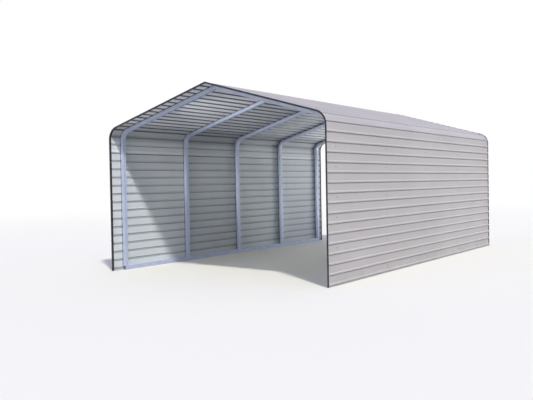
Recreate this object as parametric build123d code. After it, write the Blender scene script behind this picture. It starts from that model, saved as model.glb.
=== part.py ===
from build123d import *
from math import atan2, cos, degrees, pi, radians, sin, tan
import os

os.makedirs("parts", exist_ok=True)

# Overall sizes in millimetres. The side height is taken at the middle of the rounded eave.
overall_width = 3599.2
overall_length = 5999.5
overall_height = 2560.0
side_height = 2009.2
eave_radius = 175.0

# Clearance wherever one piece seats on, laps or butts against another
fit = 0.3

# Ribbed sheets: the ribs run from front to back, one rib of each sheet laps the sheet below
sheet = 0.5
rib_pitch = 120.0
rib_height = 12.0
rib_base = 32.0
rib_crown = 14.0
first_rib = 30.0
sheet_cover = 840.0
narrow_cover = 360.0
straight_below_bend = 100.0
clear_of_ridge = 60.0
lip = 10.0
joggle = 8.0

# Square tube hoops on two base rails
tube = 60.0
tube_wall = 1.4
tube_corner = 2.5
hoop_count = 5
hoop_inset = 230.0
spigot_length = 70.0
collar_depth = 4.0
elbow_arm = 40.0
ridge_arm = 60.0

# Anchor holes, evenly spaced along each base rail
anchor_count = 6
anchor_radius = 7.0
anchor_inset = 90.0

# Dark edge trim: a web across the sheet ends and a leg under the flat pans
trim = 1.0
trim_leg = 30.0
trim_inside = 9.0
trim_foot = 2.0

# The skin line is the inner face of the pans: up the wall, round the eave, up the slope
lift = sheet + fit
rib_out = rib_height + lift + sheet
skin_x = overall_width / 2 - rib_out
slope = radians(16)
for _ in range(12):
    turn = pi / 2 - slope
    rise = (eave_radius + rib_out) * (tan(turn / 2) - sin(turn / 2))
    slope = atan2(overall_height - side_height - rise, overall_width / 2)
turn = pi / 2 - slope
skin_ridge = overall_height - rib_out / cos(slope)
corner_z = skin_ridge - skin_x * tan(slope)
bend_x = skin_x - eave_radius
bend_z = corner_z - eave_radius * tan(turn / 2)
bend_start = bend_z
bend_end = bend_start + eave_radius * turn
slope_x = bend_x + eave_radius * cos(turn)
slope_z = bend_z + eave_radius * sin(turn)
ridge_s = bend_end + slope_x / cos(slope)

# Ribs are counted from the ground; each sheet runs from one lapped rib to the next
eave_lap = int((bend_start - straight_below_bend - first_rib) / rib_pitch)
roof_lap = eave_lap + round(sheet_cover / rib_pitch)
last_rib = int((ridge_s - clear_of_ridge - first_rib) / rib_pitch)
narrow_lap = last_rib - round(narrow_cover / rib_pitch)
sheet_ribs = {
    "lower_wall_sheet": (0, eave_lap // 2),
    "upper_wall_sheet": (eave_lap // 2, eave_lap),
    "eave_sheet": (eave_lap, roof_lap),
    "lower_roof_sheet": (roof_lap, narrow_lap),
    "upper_roof_sheet": (narrow_lap, last_rib),
}

front = -overall_length / 2
tube_x = skin_x - fit - tube / 2
spigot = tube - 2 * tube_wall - 2 * fit
hoop_step = (overall_length - 2 * hoop_inset) / (hoop_count - 1)
hoop_y = [front + hoop_inset + n * hoop_step for n in range(hoop_count)]


# A point of the section: s along the skin line from the ground, h outward from it
def place(s, h):
    if s <= bend_start:
        return (skin_x + h, s)
    if s <= bend_end:
        a = (s - bend_start) / eave_radius
        return (bend_x + (eave_radius + h) * cos(a), bend_z + (eave_radius + h) * sin(a))
    run = s - bend_end
    x = slope_x + h * sin(slope) - run * cos(slope)
    return (x, slope_z + h * cos(slope) + run * sin(slope))


def spot(s, h):
    x, z = place(s, h)
    return Vector(x, 0, z)


# How far along the skin line a vertical cut at distance x from the middle lies, at offset h
def ridge_at(h, x=0.0):
    return ridge_s + h * tan(slope) - x / cos(slope)


# Edges between two points; a stretch parallel to the skin line turns with the eave
def run_edges(a, b):
    if abs(a[1] - b[1]) > 1e-6:
        return [Line(spot(*a), spot(*b))]
    cuts = [a[0]] + [s for s in (bend_start, bend_end) if a[0] < s < b[0]] + [b[0]]
    edges = []
    for s0, s1 in zip(cuts, cuts[1:]):
        if bend_start <= s0 and s1 <= bend_end:
            middle = spot((s0 + s1) / 2, a[1])
            edges.append(ThreePointArc(spot(s0, a[1]), middle, spot(s1, a[1])))
        else:
            edges.append(Line(spot(s0, a[1]), spot(s1, a[1])))
    return edges


# Closed face between an inner and an outer line of points (s, h)
def skin_face(inner, outer):
    edges = [Line(spot(*inner[0]), spot(*outer[0])), Line(spot(*inner[-1]), spot(*outer[-1]))]
    for line in (inner, outer):
        for a, b in zip(line, line[1:]):
            edges += run_edges(a, b)
    return make_face(edges)


# The line moved outward by a distance, mitred at its corners, so a sheet has an even thickness
def offset_line(line, distance):
    ways = [(Vector(*b) - Vector(*a)).normalized() for a, b in zip(line, line[1:])]
    moved = []
    for point, before, after in zip(line, ways[:1] + ways, ways + ways[-1:]):
        share = distance / (1 + before.dot(after))
        across = before + after
        moved.append((point[0] - across.Y * share, point[1] + across.X * share))
    return moved


def rib_middle(n):
    return first_rib + n * rib_pitch


# Rib number n: two flanks and a crown
def rib(n):
    middle = rib_middle(n)
    half = [(rib_base / 2, 0.0), (rib_crown / 2, rib_height)]
    return [(middle - x, h) for x, h in half] + [(middle + x, h) for x, h in reversed(half)]


# Inner line of a sheet; the lowest rib of a lapping sheet stands over the sheet below
def sheet_line(low, high):
    line = [(rib_middle(low) - rib_base / 2 - lip, 0.0)] + rib(low)
    if low > 0:
        top = rib_middle(low) + rib_base / 2 + lip + joggle
        line = offset_line(line + [(top, 0.0)], lift)
        line.append((top + joggle, 0.0))
    for n in range(low + 1, high + 1):
        line += rib(n)
    line.append((rib_middle(high) + rib_base / 2 + lip, 0.0))
    return line


# Half of the ridge cap at offset h, from below the last rib to the middle
def cap_line(n, h):
    line = [(rib_middle(n) - rib_base / 2 - lip, 0.0)] + rib(n) + [(ridge_s, 0.0)]
    return offset_line(line, h)[:-1] + [(ridge_at(h), h)]


# Plain band between offsets h0 and h1, ending at s1 or with a vertical cut beside the ridge
def band(s0, s1, h0, h1):
    tops = [ridge_at(h, fit / 2) if s1 is None else s1 for h in (h0, h1)]
    return skin_face([(s0, h0), (tops[0], h0)], [(s0, h1), (tops[1], h1)])


# Extrude a section face from y over a length
def along(face, y, length):
    return extrude(Pos(0, y, 0) * face, length, dir=(0, 1, 0))


# Section of a square tube, with narrow flats at its corners where a corner size is given
def tube_section(size, corner):
    outer = Rectangle(size, size)
    if corner > 0:
        outer = chamfer(outer.vertices(), corner)
    return outer - Rectangle(size - 2 * tube_wall, size - 2 * tube_wall)


def square_tube(length):
    return extrude(tube_section(tube, tube_corner), length)


def spigot_tube(length):
    return extrude(tube_section(spigot, 0), length)


# A welded end that slips into the next tube; it starts at the origin and points up
def end_spigot():
    outside = tube - tube_wall
    inside = spigot - 2 * tube_wall
    ring = Rectangle(outside, outside) - Rectangle(inside, inside)
    return extrude(ring, -collar_depth) + spigot_tube(spigot_length)


# Direction of the slope as a turn of the vertical, and the tube centre line on it
slope_tilt = Rot(0, -degrees(turn), 0)
tube_h = -fit - tube / 2


def on_slope(s, y):
    x, z = place(s, tube_h)
    return Pos(x, y, z) * slope_tilt


def leg(y):
    bottom = tube + fit
    return Pos(tube_x, y, bottom) * square_tube(bend_start - elbow_arm - fit - bottom)


def rafter(y):
    start = bend_end + elbow_arm + fit
    stop = ridge_at(tube_h) - ridge_arm - fit
    return on_slope(start, y) * square_tube(stop - start)


def elbow(y):
    low = Pos(tube_x, y, bend_start - elbow_arm)
    centre = Axis((bend_x, y, bend_z), (0, -1, 0))
    bend = revolve(Pos(tube_x, y, bend_z) * tube_section(tube, tube_corner), centre, degrees(turn))
    arms = low * square_tube(elbow_arm) + on_slope(bend_end, y) * square_tube(elbow_arm)
    ends = low * Rot(180, 0, 0) * end_spigot() + on_slope(bend_end + elbow_arm, y) * end_spigot()
    return bend + arms + ends


def ridge_connector(y):
    start = ridge_at(tube_h) - ridge_arm
    arm = on_slope(start, y) * square_tube(2 * ridge_arm)
    keep = Pos(overall_width / 2, y, overall_height) * Box(overall_width, 2 * tube, overall_height)
    half = (arm & keep) + on_slope(start, y) * Rot(180, 0, 0) * end_spigot()
    return half + mirror(half, about=Plane.YZ)


def base_rail():
    length = hoop_y[-1] - hoop_y[0] + tube
    rail = Pos(tube_x, hoop_y[0] - tube / 2, tube / 2) * Rot(-90, 0, 0) * square_tube(length)
    for y in hoop_y:
        rail += Pos(tube_x, y, tube - tube_wall / 2) * spigot_tube(spigot_length)
    reach = hoop_y[-1] - hoop_y[0] - 2 * anchor_inset
    for n in range(anchor_count):
        y = hoop_y[0] + anchor_inset + n * reach / (anchor_count - 1)
        rail -= Pos(tube_x, y, tube / 2) * Cylinder(anchor_radius, 2 * tube)
    return rail


# A trim of the front end, from s0 to s1 along the skin line
def edge_trim(s0, s1):
    web = along(band(s0, s1, -trim_inside, rib_out), front, trim)
    leg_under = along(band(s0, s1, -fit - trim, -fit), front, trim_leg)
    return web + leg_under


def both_sides(shape):
    return [shape, mirror(shape, about=Plane.YZ)]


def save(name, shapes):
    body = shapes[0] if len(shapes) == 1 else Compound(children=shapes)
    export_step(body, f"parts/{name}.step")


# Frame
for side, rail in zip(("right", "left"), both_sides(base_rail())):
    save(f"{side}_base_rail", [rail])
for number, y in enumerate(hoop_y, 1):
    for side, shape in zip(("right", "left"), both_sides(leg(y))):
        save(f"hoop_{number}_{side}_leg", [shape])
    for side, shape in zip(("right", "left"), both_sides(rafter(y))):
        save(f"hoop_{number}_{side}_rafter", [shape])
elbows = [both_sides(elbow(y)) for y in hoop_y]
save("right_eave_elbows", [pair[0] for pair in elbows])
save("left_eave_elbows", [pair[1] for pair in elbows])
save("ridge_connectors", [ridge_connector(y) for y in hoop_y])

# Skin
sheet_front = front + trim + fit
sheet_length = -2 * sheet_front
for name, (low, high) in sheet_ribs.items():
    inner = sheet_line(low, high)
    face = skin_face(inner, offset_line(inner, sheet))
    for side, shape in zip(("right", "left"), both_sides(along(face, sheet_front, sheet_length))):
        save(f"{side}_{name}", [shape])

# Ridge cap, lapping the last rib of both upper roof sheets
cap_face = skin_face(cap_line(last_rib, lift), cap_line(last_rib, lift + sheet))
half_cap = along(cap_face, sheet_front, sheet_length)
save("ridge_cap", [half_cap + mirror(half_cap, about=Plane.YZ)])

# Edge trims of both ends
trim_runs = {
    "wall": (trim_foot, bend_start - fit),
    "eave": (bend_start, bend_end),
    "slope": (bend_end + fit, None),
}
for name, (s0, s1) in trim_runs.items():
    pair = both_sides(edge_trim(s0, s1))
    save(f"front_{name}_trims", pair)
    save(f"rear_{name}_trims", [mirror(shape, about=Plane.XZ) for shape in pair])
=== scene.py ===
import math

import bpy
from mathutils import Matrix, Vector


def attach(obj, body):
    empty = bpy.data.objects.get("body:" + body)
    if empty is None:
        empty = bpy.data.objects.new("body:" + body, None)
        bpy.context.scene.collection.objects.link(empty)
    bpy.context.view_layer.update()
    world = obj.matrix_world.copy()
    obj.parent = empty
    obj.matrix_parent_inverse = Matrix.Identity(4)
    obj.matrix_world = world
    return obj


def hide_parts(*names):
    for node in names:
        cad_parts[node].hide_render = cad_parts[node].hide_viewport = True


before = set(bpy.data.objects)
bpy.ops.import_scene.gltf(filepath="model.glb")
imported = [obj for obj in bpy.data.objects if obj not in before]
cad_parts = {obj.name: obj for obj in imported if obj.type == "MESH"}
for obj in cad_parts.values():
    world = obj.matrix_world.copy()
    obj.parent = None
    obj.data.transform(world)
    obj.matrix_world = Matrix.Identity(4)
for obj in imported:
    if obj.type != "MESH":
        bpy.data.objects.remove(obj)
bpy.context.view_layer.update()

print("carport: frame loaded,", len(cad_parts), "nodes")


# A screen colour as the linear one that nodes take
def paint(colour):
    linear = [c / 12.92 if c <= 0.04045 else ((c + 0.055) / 1.055) ** 2.4 for c in colour]
    return (*linear, 1.0)


# A socket that takes plain arithmetic, in shader and geometry trees alike
class Wire:
    def __init__(self, tree, socket=None):
        self.tree = tree
        self.socket = socket

    # The one way to add any other node: settings first, then the values or links of its sockets
    def add(self, kind, settings=None, sockets=None, output=0):
        node = self.tree.nodes.new(kind)
        for key, value in (settings or {}).items():
            setattr(node, key, value)
        for key, value in (sockets or {}).items():
            for wire in value if isinstance(value, list) else [value]:
                if isinstance(wire, Wire):
                    self.tree.links.new(wire.socket, node.inputs[key])
                else:
                    node.inputs[key].default_value = wire
        return Wire(self.tree, node.outputs[output] if len(node.outputs) else None)

    # Another output of the same node
    def out(self, name):
        return Wire(self.tree, self.socket.node.outputs[name])

    def maths(self, operation, *others):
        return self.add("ShaderNodeMath", {"operation": operation}, dict(enumerate((self, *others))))

    def flipped(self, operation, other):
        return self.add("ShaderNodeMath", {"operation": operation}, {0: other, 1: self})

    def __add__(self, other):
        return self.maths("ADD", other)

    def __radd__(self, other):
        return self.maths("ADD", other)

    def __sub__(self, other):
        return self.maths("SUBTRACT", other)

    def __rsub__(self, other):
        return self.flipped("SUBTRACT", other)

    def __mul__(self, other):
        return self.maths("MULTIPLY", other)

    def __rmul__(self, other):
        return self.maths("MULTIPLY", other)

    def __truediv__(self, other):
        return self.maths("DIVIDE", other)

    def __rtruediv__(self, other):
        return self.flipped("DIVIDE", other)

    def __mod__(self, other):
        return self.maths("FLOORED_MODULO", other)

    def __rmod__(self, other):
        return self.flipped("FLOORED_MODULO", other)

    def __gt__(self, other):
        return self.maths("GREATER_THAN", other)

    def __lt__(self, other):
        return self.maths("LESS_THAN", other)

    # 0 below low, 1 above high, smooth between
    def rise(self, low, high):
        limits = {"Value": self, "From Min": low, "From Max": high}
        return self.add("ShaderNodeMapRange", {"interpolation_type": "SMOOTHSTEP"}, limits)

    # This value as the share of the second colour in a mix of two, each a wire or a screen colour.
    # Sockets 6 and 7 and output 2 are the Mix node's colour ones.
    def tint(self, first, second):
        first, second = (paint(c) if isinstance(c, tuple) else c for c in (first, second))
        kinds = {"data_type": "RGBA", "clamp_factor": True}
        return self.add("ShaderNodeMix", kinds, {0: self, 6: first, 7: second}, 2)


def split(vector):
    return vector.add("ShaderNodeSeparateXYZ", None, {0: vector})


# The section of the shelter in metres. A point is s, the run up the wall, round the eave and up
# the slope, and h, the distance out from the inner face of the flat pans. Bars that end at the
# ridge are drawn a little past it, because the wrap holds them there.
shelter = {
    "width": 3.5992,
    "height": 2.56,
    "sideHeight": 2.0092,
    "eaveRadius": 0.175,
    "slopeGuess": 16.0,
    "slopeRounds": 12,
    "frontY": -2.99975,
    "fit": 0.0003,
    "sheet": 0.0005,
    "trim": 0.001,
    "ribPitch": 0.12,
    "ribHeight": 0.012,
    "ribBase": 0.032,
    "ribCrown": 0.014,
    "firstRib": 0.03,
    "lip": 0.01,
    "joggle": 0.008,
    "tube": 0.06,
    "elbowArm": 0.04,
    "ridgeArm": 0.06,
    "hoopCount": 5,
    "hoopInset": 0.23,
    "pastRidge": 0.2,
    # The first and last rib of each sheet, counted from the ground
    "sheetRibs": {"lower_wall": (0, 7), "upper_wall": (7, 14), "eave": (14, 21),
                  "lower_roof": (21, 28), "upper_roof": (28, 31)},
}


# What follows from those sizes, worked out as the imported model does. The slope and the rounding of
# the eave depend on each other, so the slope is found in rounds.
def workOut(v):
    v["lift"] = v["sheet"] + v["fit"]
    v["ribOut"] = v["ribHeight"] + v["lift"] + v["sheet"]
    v["skinX"] = v["width"] / 2 - v["ribOut"]
    slope = math.radians(v["slopeGuess"])
    for _ in range(v["slopeRounds"]):
        turn = math.pi / 2 - slope
        rise = (v["eaveRadius"] + v["ribOut"]) * (math.tan(turn / 2) - math.sin(turn / 2))
        slope = math.atan2(v["height"] - v["sideHeight"] - rise, v["width"] / 2)
    v["slope"] = slope
    turn = math.pi / 2 - slope
    skinRidge = v["height"] - v["ribOut"] / math.cos(slope)
    cornerZ = skinRidge - v["skinX"] * math.tan(slope)
    v["bendStart"] = cornerZ - v["eaveRadius"] * math.tan(turn / 2)
    v["bendEnd"] = v["bendStart"] + v["eaveRadius"] * turn
    slopeX = v["skinX"] - v["eaveRadius"] + v["eaveRadius"] * math.cos(turn)
    v["ridgeRun"] = v["bendEnd"] + slopeX / math.cos(slope)
    v["beyondRidge"] = v["ridgeRun"] + v["pastRidge"]
    v["firstHoop"] = v["frontY"] + v["hoopInset"]
    v["hoopStep"] = -2 * v["firstHoop"] / (v["hoopCount"] - 1)
    v["tubeH"] = -v["fit"] - v["tube"] / 2
    v["ribEdge"] = v["ribBase"] / 2 + v["lip"]
    v["lastRib"] = v["sheetRibs"]["upper_roof"][1]


workOut(shelter)
sides = {"right": 1.0, "left": -1.0}


def ridgeAt(h):
    return shelter["ridgeRun"] + h * math.tan(shelter["slope"])


def ribMiddle(n):
    return shelter["firstRib"] + n * shelter["ribPitch"]


def rib(n):
    middle = ribMiddle(n)
    half = [(shelter["ribBase"] / 2, 0.0), (shelter["ribCrown"] / 2, shelter["ribHeight"])]
    return [(middle - x, h) for x, h in half] + [(middle + x, h) for x, h in reversed(half)]


# The line moved outward by a distance, mitred at its corners
def offsetLine(line, distance):
    ways = [(Vector(b) - Vector(a)).normalized() for a, b in zip(line, line[1:])]
    moved = []
    for point, before, after in zip(line, ways[:1] + ways, ways + ways[-1:]):
        across = (before + after) * distance / (1 + before.dot(after))
        moved.append((point[0] - across.y, point[1] + across.x))
    return moved


# The inner line of a sheet; the lowest rib of a lapping sheet stands over the sheet below
def sheetLine(low, high):
    line = [(ribMiddle(low) - shelter["ribEdge"], 0.0)] + rib(low)
    if low > 0:
        top = ribMiddle(low) + shelter["ribEdge"] + shelter["joggle"]
        line = offsetLine(line + [(top, 0.0)], shelter["lift"])
        line.append((top + shelter["joggle"], 0.0))
    for n in range(low + 1, high + 1):
        line += rib(n)
    return line + [(ribMiddle(high) + shelter["ribEdge"], 0.0)]


# Half of the ridge cap, from below the last rib to the ridge
def capLine(n):
    line = [(ribMiddle(n) - shelter["ribEdge"], 0.0)] + rib(n)
    line = offsetLine(line + [(ridgeAt(0.0), 0.0)], shelter["lift"])
    return line[:-1] + [(ridgeAt(shelter["lift"]), shelter["lift"])]


# Points that stand a little off each corner keep the flats flat under smooth shading. A stretch
# that is too short for them stays as it is.
def holdFlats(line, reach, most):
    held = [line[0]]
    for a, b in zip(line, line[1:]):
        run = Vector(b) - Vector(a)
        share = reach / run.length
        if share < most:
            held += [tuple(Vector(a) + run * share), tuple(Vector(b) - run * share)]
        held.append(b)
    return held


# How near points lie that become one, which edges stay crisp or are softened, and how many
# rings of points a straight bar needs
joining = {
    "weld": 1e-5,
    "lineWeld": 1e-4,
    "crispAngle": 40.0,
    "softenAngle": 50.0,
    "softenSteps": 2,
    "straightSteps": 2,
}


# An input is given by its name, its kind and, where it needs one, its first value
def newTree(name, inputs):
    tree = bpy.data.node_groups.new(name, "GeometryNodeTree")
    tree.is_modifier = True
    for way in ("OUTPUT", "INPUT"):
        tree.interface.new_socket("Geometry", in_out=way, socket_type="NodeSocketGeometry")
    for label, kind, *value in inputs:
        socket = tree.interface.new_socket(label, in_out="INPUT", socket_type="NodeSocket" + kind)
        if value:
            socket.default_value = value[0]
    return tree, Wire(tree).add("NodeGroupInput")


def endTree(wire):
    wire.add("NodeGroupOutput", None, {"Geometry": wire})


# Everything on the shelter is laid out flat as (s, y, h) and then wrapped round the eave by this
def makeWrap():
    tree, given = newTree("wrapRoundEave", [
        ("Side", "Float", 1.0),
        ("Skin X", "Float", shelter["skinX"]),
        ("Bend start", "Float", shelter["bendStart"]),
        ("Eave radius", "Float", shelter["eaveRadius"]),
        ("Slope", "Float", shelter["slope"]),
        ("Ridge run", "Float", shelter["ridgeRun"]),
        ("Ridge gap", "Float"),
    ])
    radius = given.out("Eave radius")
    slope = given.out("Slope")
    start = given.out("Bend start")
    side = given.out("Side")
    spot = split(given.add("GeometryNodeInputPosition"))
    h = spot.out("Z")
    cosine = slope.maths("COSINE")
    top = given.out("Ridge run") + h * slope.maths("TANGENT") - given.out("Ridge gap") / cosine
    s = spot.maths("MINIMUM", top)
    turn = math.pi / 2 - slope
    angle = ((s - start) / radius).maths("MAXIMUM", 0.0).maths("MINIMUM", turn)
    run = (s - start - radius * turn).maths("MAXIMUM", 0.0)
    out = radius + h
    x = given.out("Skin X") - radius + out * angle.maths("COSINE") - run * cosine
    z = s.maths("MINIMUM", start) + out * angle.maths("SINE") + run * slope.maths("SINE")
    made = given
    for name, value in (("along", s), ("outward", h)):
        made = made.add("GeometryNodeStoreNamedAttribute", {"data_type": "FLOAT", "domain": "POINT"},
                        {"Geometry": made, "Name": name, "Value": value})
    place = given.add("ShaderNodeCombineXYZ", None, {"X": x * side, "Y": spot.out("Y"), "Z": z})
    made = made.add("GeometryNodeSetPosition", None, {"Geometry": made, "Position": place})
    made = made.add("GeometryNodeFlipFaces", None, {"Mesh": made, "Selection": side > 0.0})
    endTree(made)
    return tree


wrapRoundEave = makeWrap()


# Wraps what is made so far and passes on the tree's own inputs of these names
def wrapped(made, given, *labels):
    passed = {label: given.out(label) for label in labels}
    return made.add("GeometryNodeGroup", {"node_tree": wrapRoundEave}, {"Geometry": made, **passed})


def weld(made, reach):
    return made.add("GeometryNodeMergeByDistance", None, {"Geometry": made, "Distance": reach})


# The section line that a tree is given, as a curve with rounded corners
def roundedLine(given):
    line = given.add("GeometryNodeMeshToCurve", None, {"Mesh": given})
    return line.add("GeometryNodeFilletCurve", {"mode": "POLY"},
                    {"Curve": line, "Radius": given.out("Corner radius"),
                     "Count": given.out("Corner steps"), "Limit Radius": True})


# With Whole ridge, what lies on the ridge plane goes and the mirrored half is joined on there
def closeRidge(made, given):
    reach = joining["weld"]
    plane = split(made.add("GeometryNodeInputPosition"))
    half = made.add("GeometryNodeDeleteGeometry", {"domain": "FACE", "mode": "ONLY_FACE"},
                    {"Geometry": made, "Selection": plane.maths("ABSOLUTE") < reach})
    other = made.add("GeometryNodeTransform", None, {"Geometry": half, "Scale": (-1.0, 1.0, 1.0)})
    other = made.add("GeometryNodeFlipFaces", None, {"Mesh": other})
    both = made.add("GeometryNodeJoinGeometry", None, {"Geometry": [half, other]})
    return made.add("GeometryNodeSwitch", {"input_type": "GEOMETRY"},
                    {"Switch": given.out("Whole ridge"), "False": made, "True": weld(both, reach)})


# Smooth faces with the edges sharper than the limit left crisp, and the finish
def finishTree(made, material):
    made = made.add("GeometryNodeSetShadeSmooth", {"domain": "FACE"}, {"Geometry": made})
    crisp = made.add("GeometryNodeInputMeshEdgeAngle") > math.radians(joining["crispAngle"])
    made = made.add("GeometryNodeSetShadeSmooth", {"domain": "EDGE"},
                    {"Geometry": made, "Selection": crisp, "Shade Smooth": False})
    return made.add("GeometryNodeSetMaterial", None, {"Geometry": made, "Material": material})


# A ribbed sheet from its section line: corners rounded, run from front to back, wrapped, thickened
def makeSheetTree():
    tree, given = newTree("ribbedSheet", [
        ("Corner radius", "Float"),
        ("Corner steps", "Int"),
        ("Cuts", "Int"),
        ("Front", "Float"),
        ("Length", "Float"),
        ("Thickness", "Float"),
        ("Side", "Float", 1.0),
        ("Whole ridge", "Bool"),
        ("Outer finish", "Material"),
        ("Inner finish", "Material"),
    ])
    line = roundedLine(given)
    line = line.add("GeometryNodeSubdivideCurve", None, {"Curve": line, "Cuts": given.out("Cuts")})
    line = weld(line.add("GeometryNodeCurveToMesh", None, {"Curve": line}), joining["lineWeld"])
    count = line.add("GeometryNodeAttributeDomainSize", {"component": "MESH"}, {"Geometry": line})
    ends = 2
    made = given.add("GeometryNodeMeshGrid", None,
                     {"Size X": 1.0, "Size Y": 1.0, "Vertices X": count, "Vertices Y": ends})
    index = given.add("GeometryNodeInputIndex")
    point = line.add("GeometryNodeSampleIndex", {"data_type": "FLOAT_VECTOR", "domain": "POINT"},
                     {"Geometry": line, "Value": given.add("GeometryNodeInputPosition"),
                      "Index": (index / ends).maths("FLOOR")})
    point = split(point)
    y = given.out("Front") + (index % ends) * given.out("Length")
    place = given.add("ShaderNodeCombineXYZ", None, {"X": point, "Y": y, "Z": point.out("Z")})
    made = made.add("GeometryNodeSetPosition", None, {"Geometry": made, "Position": place})
    made = closeRidge(wrapped(made, given, "Side"), given)
    inner = made.add("GeometryNodeFlipFaces", None, {"Mesh": made})
    outer = made.add("GeometryNodeExtrudeMesh", {"mode": "FACES"},
                     {"Mesh": made, "Offset Scale": given.out("Thickness"), "Individual": False})
    shells = [finishTree(outer, given.out("Outer finish")), finishTree(inner, given.out("Inner finish"))]
    made = made.add("GeometryNodeJoinGeometry", None, {"Geometry": shells})
    made = weld(made, joining["weld"])
    endTree(made.add("GeometryNodeRealizeInstances", None, {"Geometry": made}))
    return tree


# A bar from its profile (across, h), run from one s to another, repeated along y and wrapped
def makeBarTree():
    tree, given = newTree("wrappedBar", [
        ("Corner radius", "Float"),
        ("Corner steps", "Int"),
        ("From", "Float"),
        ("To", "Float"),
        ("Steps", "Int", joining["straightSteps"]),
        ("Copies", "Int", 1),
        ("First copy", "Float"),
        ("Copy step", "Float"),
        ("Side", "Float", 1.0),
        ("Ridge gap", "Float"),
        ("Whole ridge", "Bool"),
        ("Finish", "Material"),
    ])
    steps = given.out("Steps")
    low = given.out("From")
    high = given.out("To")
    line = roundedLine(given)
    cap = line.add("GeometryNodeFillCurve", {"mode": "NGONS"}, {0: line})
    loop = line.add("GeometryNodeCurveToMesh", None, {"Curve": line})
    count = loop.add("GeometryNodeAttributeDomainSize", {"component": "MESH"}, {"Geometry": loop})
    position = given.add("GeometryNodeInputPosition")
    index = given.add("GeometryNodeInputIndex")
    around = count + 1
    made = given.add("GeometryNodeMeshGrid", None,
                     {"Size X": 1.0, "Size Y": 1.0, "Vertices X": steps, "Vertices Y": around})
    point = loop.add("GeometryNodeSampleIndex", {"data_type": "FLOAT_VECTOR", "domain": "POINT"},
                     {"Geometry": loop, "Value": position, "Index": index % around % count})
    point = split(point)
    share = (index / around).maths("FLOOR") / (steps - 1)
    place = given.add("ShaderNodeCombineXYZ", None,
                      {"X": low + (high - low) * share, "Y": point, "Z": point.out("Y")})
    made = made.add("GeometryNodeSetPosition", None, {"Geometry": made, "Position": place})
    made = made.add("GeometryNodeFlipFaces", None, {"Mesh": made})
    flat = split(position)
    ends = [made]
    for s in (low, high):
        place = given.add("ShaderNodeCombineXYZ", None, {"X": s, "Y": flat, "Z": flat.out("Y")})
        ends.append(cap.add("GeometryNodeSetPosition", None, {"Geometry": cap, "Position": place}))
    ends[1] = made.add("GeometryNodeFlipFaces", None, {"Mesh": ends[1]})
    made = weld(made.add("GeometryNodeJoinGeometry", None, {"Geometry": ends}), joining["weld"])
    start = given.add("ShaderNodeCombineXYZ", None, {"Y": given.out("First copy")})
    step = given.add("ShaderNodeCombineXYZ", None, {"Y": given.out("Copy step")})
    row = given.add("GeometryNodeMeshLine", {"mode": "OFFSET"},
                    {"Count": given.out("Copies"), "Start Location": start, "Offset": step})
    made = made.add("GeometryNodeInstanceOnPoints", None, {"Points": row, "Instance": made})
    made = made.add("GeometryNodeRealizeInstances", None, {"Geometry": made})
    made = closeRidge(wrapped(made, given, "Side", "Ridge gap"), given)
    endTree(finishTree(made, given.out("Finish")))
    return tree


# Hex heads or washers on given points (s, y, h), each turned a little differently
def makeFastenerTree():
    tree, given = newTree("fasteners", [
        ("Corners", "Int"),
        ("Radius", "Float"),
        ("Height", "Float"),
        ("Lift", "Float"),
        ("Rim", "Float"),
        ("Roll turn", "Float"),
        ("Spread", "Float", math.pi),
        ("Seed", "Int"),
        ("Side", "Float", 1.0),
        ("Finish", "Material"),
    ])
    radius = given.out("Radius")
    body = given.add("GeometryNodeMeshCone", {"fill_type": "NGON"},
                     {"Vertices": given.out("Corners"), "Radius Bottom": radius,
                      "Radius Top": radius - given.out("Rim"), "Depth": given.out("Height")})
    up = given.add("ShaderNodeCombineXYZ", None, {"Z": given.out("Lift")})
    body = body.add("GeometryNodeTransform", None, {"Geometry": body, "Translation": up})
    turn = given.add("ShaderNodeCombineXYZ", None, {"X": given.out("Roll turn")})
    made = given.add("GeometryNodeInstanceOnPoints", None,
                     {"Points": given, "Instance": body, "Rotation": turn})
    # Sockets 2 and 3 and output 1 are the random node's plain numbers
    spin = given.add("FunctionNodeRandomValue", {"data_type": "FLOAT"},
                     {2: 0.0, 3: given.out("Spread"), "Seed": given.out("Seed")}, 1)
    spin = given.add("ShaderNodeCombineXYZ", None, {"Z": spin})
    made = made.add("GeometryNodeRotateInstances", None,
                    {"Instances": made, "Rotation": spin, "Local Space": True})
    made = made.add("GeometryNodeRealizeInstances", None, {"Geometry": made})
    endTree(finishTree(wrapped(made, given, "Side"), given.out("Finish")))
    return tree


sheetTree = makeSheetTree()
barTree = makeBarTree()
fastenerTree = makeFastenerTree()
print("carport: geometry trees ready")


# Finishes. Colours are given as they look on screen.
def newFinish(name):
    finish = bpy.data.materials.new(name)
    finish.use_nodes = True
    finish.node_tree.nodes.clear()
    wire = Wire(finish.node_tree)
    return finish, wire, wire.add("ShaderNodeTexCoord", None, None, "Object")


# The relief is a height in metres
def dress(wire, colour, roughness, relief, metallic=0.0):
    bump = wire.add("ShaderNodeBump", None, {"Height": relief, "Distance": 1.0, "Strength": 1.0})
    sockets = {"Base Color": colour, "Roughness": roughness, "Metallic": metallic, "Normal": bump}
    shader = wire.add("ShaderNodeBsdfPrincipled", None, sockets)
    shader.add("ShaderNodeOutputMaterial", None, {"Surface": shader})


# Cloudy noise, stretched along the axes; with low and high it becomes a mask from 0 to 1
def cloud(spot, scale, detail, low=None, high=None, stretch=(1.0, 1.0, 1.0)):
    spot = spot.add("ShaderNodeVectorMath", {"operation": "MULTIPLY"}, {0: spot, 1: stretch})
    noise = spot.add("ShaderNodeTexNoise", None, {"Vector": spot, "Scale": scale, "Detail": detail})
    return noise if low is None else noise.rise(low, high)


# The run along the sheet, and how far above the middle of the nearest rib a point is
def alongSheet(wire):
    along = wire.add("ShaderNodeAttribute", {"attribute_name": "along"}, None, "Fac")
    turns = (along - shelter["firstRib"]) / shelter["ribPitch"] + 0.5
    return along, (turns % 1.0 - 0.5) * shelter["ribPitch"]


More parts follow.
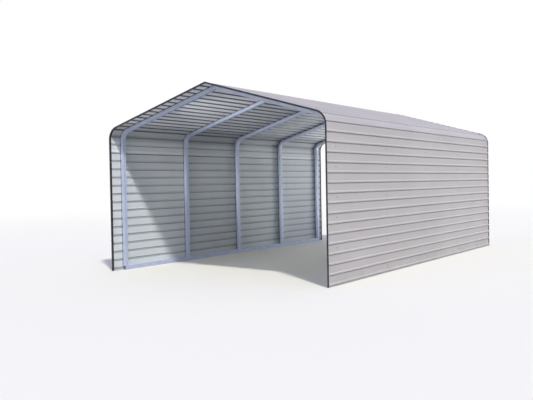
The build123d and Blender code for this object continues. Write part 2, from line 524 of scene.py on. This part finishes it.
# 1 in a band between two places, with soft edges
def band(place, low, high, soft):
    return place.rise(low - soft, low + soft) * (1.0 - place.rise(high - soft, high + soft))


# The fine grain of a coat
def grain(spot, v):
    return cloud(spot, **v["peel"]) * v["peelDepth"]


# The slight waves of thin sheet under that grain
sheetRelief = {
    "canning": {"scale": 1.0, "detail": 2.0, "stretch": (2.2, 0.9, 2.2)},
    "canningDepth": 0.0007,
    "peel": {"scale": 700.0, "detail": 1.0},
    "peelDepth": 0.00004,
}


def sheetBumps(spot, v):
    return cloud(spot, **v["canning"]) * v["canningDepth"] + grain(spot, v)


creamSheet = {
    "cream": (0.79, 0.77, 0.755),
    "creamDeep": (0.775, 0.755, 0.74),
    # Painted shade with a painted sky reflection: the roof's copy of the cream, darker and a little bluer
    "shadedRoofCream": (0.736, 0.717, 0.728),
    "shadedRoofCreamDeep": (0.714, 0.695, 0.706),
    "roofShadeFrom": -0.05,
    "roofShadeTo": 0.12,
    "patches": {"scale": 0.9, "detail": 4.0, "low": 0.35, "high": 0.65},
    "dust": (0.62, 0.585, 0.54),
    "streaks": {"scale": 1.0, "detail": 4.0, "low": 0.52, "high": 0.75, "stretch": (0.7, 16.0, 0.7)},
    "streakShare": 0.06,
    "foot": {"scale": 5.0, "detail": 5.0, "low": 0.3, "high": 0.8},
    "footHeight": 0.3,
    "footShare": 0.16,
    # Painted shade under the ribs
    "underRibShade": (0.44, 0.425, 0.43),
    "underRibShadeLow": -0.0188,
    "underRibShadeHigh": -0.0102,
    "underRibShadeSoft": 0.002,
    "underRibShadeShare": 0.5,
    "roofUnderRibShadeShare": 0.12,
    "roughness": 0.42,
    "patchRoughness": 0.06,
    "footRoughness": 0.25,
}


def outerCoat(v):
    finish, wire, spot = newFinish("creamSheetCoat")
    patches = cloud(spot, **v["patches"])
    streaks = cloud(spot, **v["streaks"])
    along, place = alongSheet(wire)
    bendStart = shelter["bendStart"]
    # Painted shade: the roof is darker and a little bluer than the wall, a painted sky reflection. A little
    # dust lies low on the wall and in streaks
    wall = patches.tint(v["cream"], v["creamDeep"])
    roof = patches.tint(v["shadedRoofCream"], v["shadedRoofCreamDeep"])
    colour = along.rise(bendStart + v["roofShadeFrom"], bendStart + v["roofShadeTo"]).tint(wall, roof)
    foot = (1.0 - split(spot).out("Z").rise(0.0, v["footHeight"])) * cloud(spot, **v["foot"])
    colour = (foot * v["footShare"] + streaks * v["streakShare"]).tint(colour, v["dust"])
    # Painted shade under each rib, on its lower flank, weaker on the roof and left off the lowest rib at the
    # foot of the wall
    onRoof = along.rise(bendStart, shelter["bendEnd"])
    underRibShade = band(place, v["underRibShadeLow"], v["underRibShadeHigh"], v["underRibShadeSoft"]) * along.rise(ribMiddle(0), ribMiddle(1))
    share = v["underRibShadeShare"] + onRoof * (v["roofUnderRibShadeShare"] - v["underRibShadeShare"])
    colour = (underRibShade * share).tint(colour, v["underRibShade"])
    roughness = v["roughness"] + patches * v["patchRoughness"] + foot * v["footRoughness"]
    dress(wire, colour, roughness, sheetBumps(spot, sheetRelief))
    return finish


backerSheet = {
    "backer": (0.87, 0.885, 0.885),
    "backerDeep": (0.83, 0.85, 0.85),
    "patches": {"scale": 1.3, "detail": 4.0, "low": 0.3, "high": 0.7},
    # Painted light: the underside of the roof is paler than the inner wall
    "litRoofBacker": (0.955, 0.96, 0.97),
    "litRoofBackerShare": 0.75,
    # Painted highlight colour, also used for the painted light on the strip below the eave
    "paintedLightColour": (0.97, 0.98, 0.99),
    "highlightBelow": 0.024,
    "highlightAbove": 0.010,
    "highlightSoft": 0.0006,
    # Painted light: a paler strip below the eave
    "litStripGap": 0.03,
    "litStripSoft": 0.008,
    "litStripShare": 0.2,
    # Painted shade in the eave bend
    "bendShadeReach": 0.15,
    "bendShadeSoft": 0.03,
    "bendShadeShare": 0.4,
    # Painted shade in the grooves, at the lap and in the eave bend
    "grooveShade": (0.36, 0.38, 0.40),
    "grooveHalf": 0.0165,
    "grooveSoft": 0.002,
    "grooveShare": 0.12,
    "lineTop": -0.004,
    "wallLineShare": 0.5,
    "lapLineShare": 0.35,
    "roofGrooveShade": (0.25, 0.27, 0.30),
    "roofGrooveHalf": 0.020,
    "roofGrooveSoft": 0.003,
    "roofGrooveShare": 0.9,
    "roughness": 0.5,
    "patchRoughness": 0.08,
}


def innerCoat(v):
    finish, wire, spot = newFinish("greyBackerCoat")
    patches = cloud(spot, **v["patches"])
    along, place = alongSheet(wire)
    bendStart = shelter["bendStart"]
    bendEnd = shelter["bendEnd"]
    onRoof = along.rise(bendStart, bendEnd)
    onWall = 1.0 - onRoof
    colour = patches.tint(v["backer"], v["backerDeep"])
    # Painted light: the underside of the roof is painted paler than the wall
    colour = (onRoof * v["litRoofBackerShare"]).tint(colour, v["litRoofBacker"])
    # Painted light: the strip below the eave is paler than the wall. Painted shade: the bend is darker
    topRib = ribMiddle(shelter["sheetRibs"]["upper_wall"][1])
    edge = topRib + shelter["ribEdge"]
    litStrip = band(along, edge, bendStart - v["litStripGap"], v["litStripSoft"])
    colour = (litStrip * v["litStripShare"]).tint(colour, v["paintedLightColour"])
    dull = band(along, bendStart, bendEnd + v["bendShadeReach"], v["bendShadeSoft"])
    colour = (dull * v["bendShadeShare"]).tint(colour, v["grooveShade"])
    # Painted shade in the grooves the ribs make inside: dark under the roof, faint with a thin line on the
    # wall and at the lap
    half = v["grooveHalf"]
    soft = v["grooveSoft"]
    roofGroove = band(place, -v["roofGrooveHalf"], v["roofGrooveHalf"], v["roofGrooveSoft"]) * onRoof
    colour = (roofGroove * v["roofGrooveShare"]).tint(colour, v["roofGrooveShade"])
    groove = band(place, -half, half, soft) * onWall
    wallLine = band(place, -half, v["lineTop"], soft) * onWall
    lapLine = band(along, topRib - half, topRib + v["lineTop"], soft)
    share = groove * v["grooveShare"] + wallLine * v["wallLineShare"] + lapLine * v["lapLineShare"]
    colour = share.tint(colour, v["grooveShade"])
    # Painted highlight: a bright band along the edge of the sheet that ends below the eave
    highlight = band(along, edge - v["highlightBelow"], edge + v["highlightAbove"], v["highlightSoft"])
    colour = highlight.tint(colour, v["paintedLightColour"])
    roughness = v["roughness"] + patches * v["patchRoughness"]
    dress(wire, colour, roughness, sheetBumps(spot, sheetRelief))
    return finish


tubeCoat = {
    "pale": (0.81, 0.845, 0.93),
    "deep": (0.77, 0.805, 0.89),
    "patches": {"scale": 7.0, "detail": 4.0, "low": 0.3, "high": 0.7},
    "patchShare": 0.7,
    "speckle": {"scale": 260.0, "detail": 2.0, "low": 0.45, "high": 0.65},
    "speckleShare": 0.3,
    "scuff": (0.88, 0.90, 0.94),
    "scuffs": {"scale": 30.0, "detail": 6.0, "low": 0.66, "high": 0.72},
    "scuffShare": 0.4,
    # Painted shade where the tube meets the sheets
    "contactShade": (0.13, 0.14, 0.17),
    "contactShadeEdge": -0.013,
    "contactShadeSoft": 0.001,
    "contactShadeShare": 0.75,
    "contactShadeRibHalf": 0.018,
    "contactShadeRibSoft": 0.003,
    "contactShadeRibShare": 0.2,
    "roughness": 0.38,
    "patchRoughness": 0.08,
    "scuffRoughness": 0.12,
    "metallic": 0.15,
    "peel": {"scale": 500.0, "detail": 2.0},
    "peelDepth": 0.00005,
}


def frameCoat(name, v, contactShaded=True):
    finish, wire, spot = newFinish(name)
    patches = cloud(spot, **v["patches"])
    scuffs = cloud(spot, **v["scuffs"])
    share = patches * v["patchShare"] + cloud(spot, **v["speckle"]) * v["speckleShare"]
    colour = share.tint(v["pale"], v["deep"])
    colour = (scuffs * v["scuffShare"]).tint(colour, v["scuff"])
    if contactShaded:
        # Painted shade: a dark line along the tube's edge against the sheets, darkest where a rib stands
        # open over it
        place = alongSheet(wire)[1]
        outward = wire.add("ShaderNodeAttribute", {"attribute_name": "outward"}, None, "Fac")
        contactShade = outward.rise(v["contactShadeEdge"] - v["contactShadeSoft"], v["contactShadeEdge"] + v["contactShadeSoft"])
        underRib = band(place, -v["contactShadeRibHalf"], v["contactShadeRibHalf"], v["contactShadeRibSoft"])
        share = v["contactShadeShare"] + underRib * v["contactShadeRibShare"]
        colour = (contactShade * share).tint(colour, v["contactShade"])
    roughness = v["roughness"] + patches * v["patchRoughness"] + scuffs * v["scuffRoughness"]
    dress(wire, colour, roughness, grain(spot, v), v["metallic"])
    return finish


trimCoat = {
    "black": (0.105, 0.115, 0.145),
    "grey": (0.165, 0.175, 0.205),
    "patches": {"scale": 9.0, "detail": 5.0, "low": 0.35, "high": 0.75},
    "dust": (0.42, 0.41, 0.40),
    "specks": {"scale": 90.0, "detail": 6.0, "low": 0.62, "high": 0.74},
    "speckShare": 0.3,
    "roughness": 0.42,
    "patchRoughness": 0.12,
    "peel": {"scale": 400.0, "detail": 2.0},
    "peelDepth": 0.00004,
}


def darkCoat(v):
    finish, wire, spot = newFinish("blackTrimCoat")
    patches = cloud(spot, **v["patches"])
    colour = patches.tint(v["black"], v["grey"])
    colour = (cloud(spot, **v["specks"]) * v["speckShare"]).tint(colour, v["dust"])
    roughness = v["roughness"] + patches * v["patchRoughness"]
    dress(wire, colour, roughness, grain(spot, v))
    return finish


# What the coats of screws, rivets and washers have in common, and then what is each one's own
smallCoats = {
    "patches": {"scale": 180.0, "detail": 3.0, "low": 0.3, "high": 0.7},
    "patchRoughness": 0.1,
    "peel": {"scale": 900.0, "detail": 2.0},
    "peelDepth": 0.00002,
    "zincScrews": {"light": (0.74, 0.75, 0.77), "dull": (0.60, 0.61, 0.63),
                   "roughness": 0.32, "metallic": 0.85},
    "paintedScrewHeads": {"light": (0.80, 0.78, 0.775), "dull": (0.74, 0.72, 0.715),
                          "roughness": 0.4, "metallic": 0.0},
    "rubberWashers": {"light": (0.33, 0.33, 0.335), "dull": (0.40, 0.40, 0.405),
                      "roughness": 0.6, "metallic": 0.0},
}


def plainCoat(name, v):
    own = v[name]
    finish, wire, spot = newFinish(name)
    patches = cloud(spot, **v["patches"])
    colour = patches.tint(own["light"], own["dull"])
    roughness = own["roughness"] + patches * v["patchRoughness"]
    dress(wire, colour, roughness, grain(spot, v), own["metallic"])
    return finish


creamCoat = outerCoat(creamSheet)
backerCoat = innerCoat(backerSheet)
tubePaint = frameCoat("paleTubeCoat", tubeCoat)
fittingPaint = frameCoat("paleFittingCoat", tubeCoat)
railPaint = frameCoat("paleRailCoat", tubeCoat, contactShaded=False)
blackTrim = darkCoat(trimCoat)
zincPlate = plainCoat("zincScrews", smallCoats)
screwPaint = plainCoat("paintedScrewHeads", smallCoats)
rubberSeal = plainCoat("rubberWashers", smallCoats)
print("carport: finishes ready")


# An object with a tree on it, from points that are loose or joined in a line or a loop. The
# tree's inputs are set by the identifiers of their sockets.
def startPiece(name, points, join, tree, values):
    last = len(points) - 1
    edges = [] if join == "loose" else [(n, n + 1) for n in range(last)]
    if join == "loop":
        edges.append((last, 0))
    mesh = bpy.data.meshes.new(name)
    mesh.from_pydata(points, edges, [])
    piece = bpy.data.objects.new(name, mesh)
    bpy.context.scene.collection.objects.link(piece)
    modifier = piece.modifiers.new("shape", "NODES")
    modifier.node_group = tree
    for item in tree.interface.items_tree:
        if item.item_type == "SOCKET" and item.in_out == "INPUT" and item.name in values:
            modifier[item.identifier] = values[item.name]
    return piece


# Takes the result of the modifiers as the piece's own mesh and puts the piece on the frame
def settlePiece(piece, nodes=()):
    graph = bpy.context.evaluated_depsgraph_get()
    mesh = bpy.data.meshes.new_from_object(piece.evaluated_get(graph), preserve_all_data_layers=True,
                                           depsgraph=graph)
    for index in reversed(range(len(mesh.materials))):
        if mesh.materials[index] is None:
            mesh.materials.pop(index=index)
    piece.modifiers.clear()
    piece.data = mesh
    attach(piece, "root")
    if nodes:
        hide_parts(*nodes)
    return piece


def softenEdges(piece, width):
    bevel = piece.modifiers.new("softened", "BEVEL")
    bevel.width = width
    bevel.segments = joining["softenSteps"]
    bevel.limit_method = "ANGLE"
    bevel.angle_limit = math.radians(joining["softenAngle"])


# Ribbed sheets of both sides and the ridge cap
sheets = {
    "cornerRadius": 0.0025,
    "cornerSteps": 4,
    "flatHold": 0.004,
    "flatHoldMost": 0.35,
    "eaveCuts": 7,
}


def makeSheets(v):
    front = shelter["frontY"] + shelter["trim"] + shelter["fit"]
    common = {
        "Corner radius": v["cornerRadius"],
        "Corner steps": v["cornerSteps"],
        "Front": front,
        "Length": -2 * front,
        "Thickness": shelter["sheet"],
        "Outer finish": creamCoat,
        "Inner finish": backerCoat,
    }
    for place, (low, high) in shelter["sheetRibs"].items():
        line = holdFlats(sheetLine(low, high), v["flatHold"], v["flatHoldMost"])
        points = [(s, 0.0, h) for s, h in line]
        for side, sign in sides.items():
            given = {**common, "Side": sign, "Cuts": v["eaveCuts"] if place == "eave" else 0}
            piece = startPiece(f"{side}_{place}_ribbed_sheet", points, "line", sheetTree, given)
            settlePiece(piece, [f"{side}_{place}_sheet"])
    line = holdFlats(capLine(shelter["lastRib"]), v["flatHold"], v["flatHoldMost"])
    points = [(s, 0.0, h) for s, h in line]
    piece = startPiece("ribbed_ridge_cap", points, "line", sheetTree, {**common, "Whole ridge": True})
    settlePiece(piece, ["ridge_cap"])


makeSheets(sheets)
print("carport: sheets made")

# Square tubes of the hoops, all five copies of a kind in one piece
tubes = {
    "cornerRadius": 0.0035,
    "cornerSteps": 4,
    "softEdge": 0.0007,
    "elbowSteps": 44,
}


def makeTubes(v):
    half = shelter["tube"] / 2
    middle = shelter["tubeH"]
    square = [(-half, middle - half, 0.0), (half, middle - half, 0.0),
              (half, middle + half, 0.0), (-half, middle + half, 0.0)]
    low = shelter["bendStart"] - shelter["elbowArm"]
    high = shelter["bendEnd"] + shelter["elbowArm"]
    top = ridgeAt(middle) - shelter["ridgeArm"]
    fit = shelter["fit"]
    straight = joining["straightSteps"]
    paints = {"frame_tube": tubePaint, "frame_fitting": fittingPaint}
    runs = {
        "legs": (shelter["tube"] + fit, low - fit, straight, "frame_tube", "hoop_{n}_{side}_leg"),
        "elbows": (low, high, v["elbowSteps"], "frame_fitting", "{side}_eave_elbows"),
        "rafters": (high + fit, top - fit, straight, "frame_tube", "hoop_{n}_{side}_rafter"),
    }
    common = {
        "Corner radius": v["cornerRadius"],
        "Corner steps": v["cornerSteps"],
        "Copies": shelter["hoopCount"],
        "First copy": shelter["firstHoop"],
        "Copy step": shelter["hoopStep"],
    }
    numbers = range(1, shelter["hoopCount"] + 1)
    for kind, (start, stop, steps, slotName, label) in runs.items():
        for side, sign in sides.items():
            given = {**common, "From": start, "To": stop, "Steps": steps, "Side": sign,
                     "Finish": paints[slotName]}
            piece = startPiece(f"{side}_{kind}_of_the_hoops", square, "loop", barTree, given)
            softenEdges(piece, v["softEdge"])
            settlePiece(piece, sorted({label.format(n=n, side=side) for n in numbers}))
    given = {**common, "From": top, "To": shelter["beyondRidge"], "Whole ridge": True,
             "Finish": fittingPaint}
    piece = startPiece("ridge_joints_of_the_hoops", square, "loop", barTree, given)
    softenEdges(piece, v["softEdge"])
    settlePiece(piece, ["ridge_connectors"])


makeTubes(tubes)
print("carport: hoops made")

# Dark edge trim of both ends: a web across the sheet ends with a leg under the pans
edging = {
    "leg": 0.03,
    "inside": 0.009,
    "foot": 0.002,
    "softEdge": 0.00022,
    "eaveSteps": 44,
}


def makeEdging(v):
    fit = shelter["fit"]
    thick = shelter["trim"]
    out = shelter["ribOut"]
    front = shelter["frontY"]
    straight = joining["straightSteps"]
    angle = [(0.0, -v["inside"]), (thick, -v["inside"]), (thick, -fit - thick), (v["leg"], -fit - thick),
             (v["leg"], -fit), (thick, -fit), (thick, out), (0.0, out)]
    runs = {
        "wall": (v["foot"], shelter["bendStart"] - fit, straight),
        "eave": (shelter["bendStart"], shelter["bendEnd"], v["eaveSteps"]),
        "slope": (shelter["bendEnd"] + fit, shelter["beyondRidge"], straight),
    }
    for end, way in (("front", 1.0), ("rear", -1.0)):
        profile = [((front + y) * way, h, 0.0) for y, h in (angle if way > 0 else angle[::-1])]
        for kind, (start, stop, steps) in runs.items():
            halves = []
            for side, sign in sides.items():
                given = {"Corner steps": 1, "From": start, "To": stop, "Steps": steps, "Side": sign,
                         "Ridge gap": fit / 2, "Finish": blackTrim}
                piece = startPiece(f"{side}_{end}_{kind}_edging", profile, "loop", barTree, given)
                softenEdges(piece, v["softEdge"])
                halves.append(settlePiece(piece))
            for piece in halves:
                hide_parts(f"{end}_{kind}_trims")


makeEdging(edging)
print("carport: edging made")

# Self-drilling screws with sealing washers hold the sheets to the hoops, and plain ones hold the
# sleeves in the tubes. The pans that carry screws are counted by the rib below them. Small
# screws close the laps, and rivets fix the edge trim to every pan.
screws = {
    "pans": (0, 3, 6, 8, 11, 13, 17, 20, 22, 25, 27, 29),
    "fromRib": 0.06,
    "capFromRib": 0.05,
    "sleeveIn": 0.035,
    "seals": {"Corners": 14, "Radius": 0.0069, "Height": 0.0016, "Rim": 0.0008, "Finish": rubberSeal},
    "flanges": {"Corners": 14, "Radius": 0.0062, "Height": 0.001, "Rim": 0.0003},
    "heads": {"Corners": 6, "Radius": 0.0046, "Height": 0.0044, "Rim": 0.0005},
    "firstSeed": 7,
    "lapBelowRib": 0.021,
    "lapsPerBay": 3,
    "lapSize": 0.74,
    "rivets": {"Corners": 10, "Radius": 0.0042, "Height": 0.0014, "Rim": 0.0013, "Seed": 3},
    "rivetIn": 0.016,
}


# A screw is a stack of a flange and a head, on a seal where it has to be tight
def layScrews(v, name, points, side, roll, finish, size=1.0, sealed=False):
    lift = 0.0
    parts = (["seals"] if sealed else []) + ["flanges", "heads"]
    for seed, part in enumerate(parts, v["firstSeed"]):
        given = {"Finish": finish, "Lift": lift, "Roll turn": roll, "Seed": seed, "Side": side, **v[part]}
        given["Radius"] *= size
        given["Height"] *= size
        settlePiece(startPiece(f"{name}_{part}", points, "loose", fastenerTree, given))
        lift += given["Height"]


def makeScrews(v):
    hoops = [shelter["firstHoop"] + n * shelter["hoopStep"] for n in range(shelter["hoopCount"])]
    lastRib = shelter["lastRib"]
    half = shelter["tube"] / 2
    onSheet = shelter["sheet"]
    onLap = shelter["lift"] + shelter["sheet"]
    joints = [shelter["tube"] + v["sleeveIn"],
              shelter["bendStart"] - shelter["elbowArm"] - v["sleeveIn"],
              shelter["bendEnd"] + shelter["elbowArm"] + v["sleeveIn"],
              ridgeAt(shelter["tubeH"]) - shelter["ridgeArm"] - v["sleeveIn"]]
    outside = [(ribMiddle(n) + v["fromRib"], y, onSheet) for n in v["pans"] for y in hoops]
    outside += [(ribMiddle(lastRib) + v["capFromRib"], y, onLap) for y in hoops]
    inside = [(s, y, shelter["tubeH"] - half) for s in joints for y in hoops]
    facing = [(s, y - half, shelter["tubeH"]) for s in joints for y in hoops]
    laps = [high for low, high in shelter["sheetRibs"].values()]
    between = [hoops[0] + (n + 0.5) * shelter["hoopStep"] / v["lapsPerBay"]
               for n in range(v["lapsPerBay"] * (len(hoops) - 1))]
    closing = [(ribMiddle(n) - v["lapBelowRib"], y, onLap) for n in laps for y in between]
    ends = [shelter["frontY"] + v["rivetIn"], -shelter["frontY"] - v["rivetIn"]]
    fixing = [(ribMiddle(n) + v["fromRib"], y, onSheet) for n in range(lastRib) for y in ends]
    for side, sign in sides.items():
        layScrews(v, f"{side}_sheet_screw", outside, sign, 0.0, screwPaint, sealed=True)
        layScrews(v, f"{side}_lap_screw", closing, sign, 0.0, screwPaint, v["lapSize"])
        layScrews(v, f"{side}_inner_joint_screw", inside, sign, math.pi, zincPlate)
        layScrews(v, f"{side}_front_joint_screw", facing, sign, math.pi / 2, zincPlate)
        given = {"Finish": screwPaint, "Side": sign, **v["rivets"]}
        settlePiece(startPiece(f"{side}_edge_rivets", fixing, "loose", fastenerTree, given))


makeScrews(screws)
print("carport: screws made")

# Plain stage: a pale floor that fades into white, a plain sky, two soft suns and two soft panels.
# The panels light the inside, from behind the rear opening and from just inside the front one.
white = (1.0, 1.0, 1.0)
stageValues = {
    "floorReach": 60.0,
    "floorSeen": (1.0, 0.985, 0.925),
    "floorBounce": (0.70, 0.695, 0.68),
    "floorRoughness": 0.9,
    "fadeFrom": 9.0,
    "fadeTo": 26.0,
    "ambient": 0.60,
    "level": white,
    "zenith": (0.76, 0.80, 1.0),
    "zenithFrom": 0.8,
    "suns": {
        "sun": {"strength": 2.15, "way": (0.95, -0.72, 1.40), "angle": 4.0},
        "fill": {"strength": 0.3, "way": (0.08, -1.0, 0.12), "angle": 34.0},
    },
    "panels": {
        "back": {"strength": 38.0, "colour": (0.93, 0.97, 1.0), "place": (0.0, 6.0, 0.3),
                 "aim": (0.0, 1.5, 2.3), "shape": "RECTANGLE", "size": (0.9, 3.0), "spread": 90.0},
        "inside": {"strength": 14.5, "colour": white, "place": (0.0, -2.6, 1.3),
                   "aim": (0.0, 0.0, 1.22), "shape": "ELLIPSE", "size": (3.4, 2.3), "spread": 28.0},
    },
}


# 1 for what the camera sees, straight or through a reflection or glass
def seenDirectly(wire):
    path = wire.add("ShaderNodeLightPath", None, None, "Is Camera Ray")
    return path.maths("MAXIMUM", path.out("Is Glossy Ray")).maths("MAXIMUM", path.out("Is Transmission Ray"))


def makeFloor(v):
    reach = v["floorReach"]
    mesh = bpy.data.meshes.new("floor")
    corners = [(-reach, -reach, 0.0), (reach, -reach, 0.0), (reach, reach, 0.0), (-reach, reach, 0.0)]
    mesh.from_pydata(corners, [], [(0, 1, 2, 3)])
    floor = bpy.data.objects.new("floor", mesh)
    bpy.context.scene.collection.objects.link(floor)
    finish, wire, spot = newFinish("paleFloor")
    seen = seenDirectly(wire)
    colour = seen.tint(v["floorBounce"], v["floorSeen"])
    matt = wire.add("ShaderNodeBsdfPrincipled", None,
                    {"Base Color": colour, "Roughness": v["floorRoughness"]})
    glow = wire.add("ShaderNodeEmission", None, {"Color": paint(white), "Strength": 1.0})
    away = spot.add("ShaderNodeVectorMath", {"operation": "LENGTH"}, {0: spot}, "Value")
    share = away.rise(v["fadeFrom"], v["fadeTo"]) * seen
    shader = wire.add("ShaderNodeMixShader", None, {0: share, 1: matt, 2: glow})
    shader.add("ShaderNodeOutputMaterial", None, {"Surface": shader})
    mesh.materials.append(finish)


def makeSky(v):
    world = bpy.data.worlds.new("plainLight")
    bpy.context.scene.world = world
    world.use_nodes = True
    world.node_tree.nodes.clear()
    wire = Wire(world.node_tree)
    seen = seenDirectly(wire)
    upward = split(wire.add("ShaderNodeTexCoord")).out("Z")
    colour = seen.tint(upward.rise(0.0, v["zenithFrom"]).tint(v["level"], v["zenith"]), white)
    strength = v["ambient"] + seen * (1.0 - v["ambient"])
    glow = wire.add("ShaderNodeBackground", None, {"Color": colour, "Strength": strength})
    glow.add("ShaderNodeOutputWorld", None, {"Surface": glow})


# A lamp that shines against the way given
def hangLamp(name, kind, strength, way, place=(0.0, 0.0, 0.0)):
    lamp = bpy.data.lights.new(name, kind)
    lamp.energy = strength
    holder = bpy.data.objects.new(name, lamp)
    holder.location = place
    holder.rotation_euler = Vector(way).to_track_quat("Z", "Y").to_euler()
    bpy.context.scene.collection.objects.link(holder)
    return holder


def makeLamps(v):
    for name, sun in v["suns"].items():
        holder = hangLamp(name, "SUN", sun["strength"], sun["way"])
        holder.data.angle = math.radians(sun["angle"])
    for name, panel in v["panels"].items():
        way = Vector(panel["place"]) - Vector(panel["aim"])
        holder = hangLamp(name, "AREA", panel["strength"], way, panel["place"])
        holder.visible_camera = False
        lamp = holder.data
        lamp.shape = panel["shape"]
        lamp.size, lamp.size_y = panel["size"]
        lamp.spread = math.radians(panel["spread"])
        lamp.color = panel["colour"]


# The camera was fitted to the corners, the ridge and the ribs in the picture. Its pitch is
# measured from level.
cameraValues = {
    "place": (5.867, -10.13, 1.225),
    "yaw": 34.64,
    "pitch": -1.33,
    "roll": -1.04,
    "lens": 47.84,
    "sensor": 36.0,
}


def makeCamera(v):
    data = bpy.data.cameras.new("camera")
    data.lens = v["lens"]
    data.sensor_width = v["sensor"]
    camera = bpy.data.objects.new("camera", data)
    turn = Matrix.Rotation(math.radians(v["yaw"]), 4, "Z")
    turn = turn @ Matrix.Rotation(math.radians(90.0 + v["pitch"]), 4, "X")
    turn = turn @ Matrix.Rotation(math.radians(v["roll"]), 4, "Z")
    camera.matrix_world = Matrix.Translation(v["place"]) @ turn
    bpy.context.scene.collection.objects.link(camera)
    bpy.context.scene.camera = camera


makeFloor(stageValues)
makeSky(stageValues)
makeLamps(stageValues)
makeCamera(cameraValues)
bpy.context.scene.view_settings.view_transform = "Standard"
print("carport: stage, lamps and camera ready")

for side in sides:
    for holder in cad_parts[f"{side}_base_rail"].material_slots:
        holder.material = railPaint

print("carport: finished")
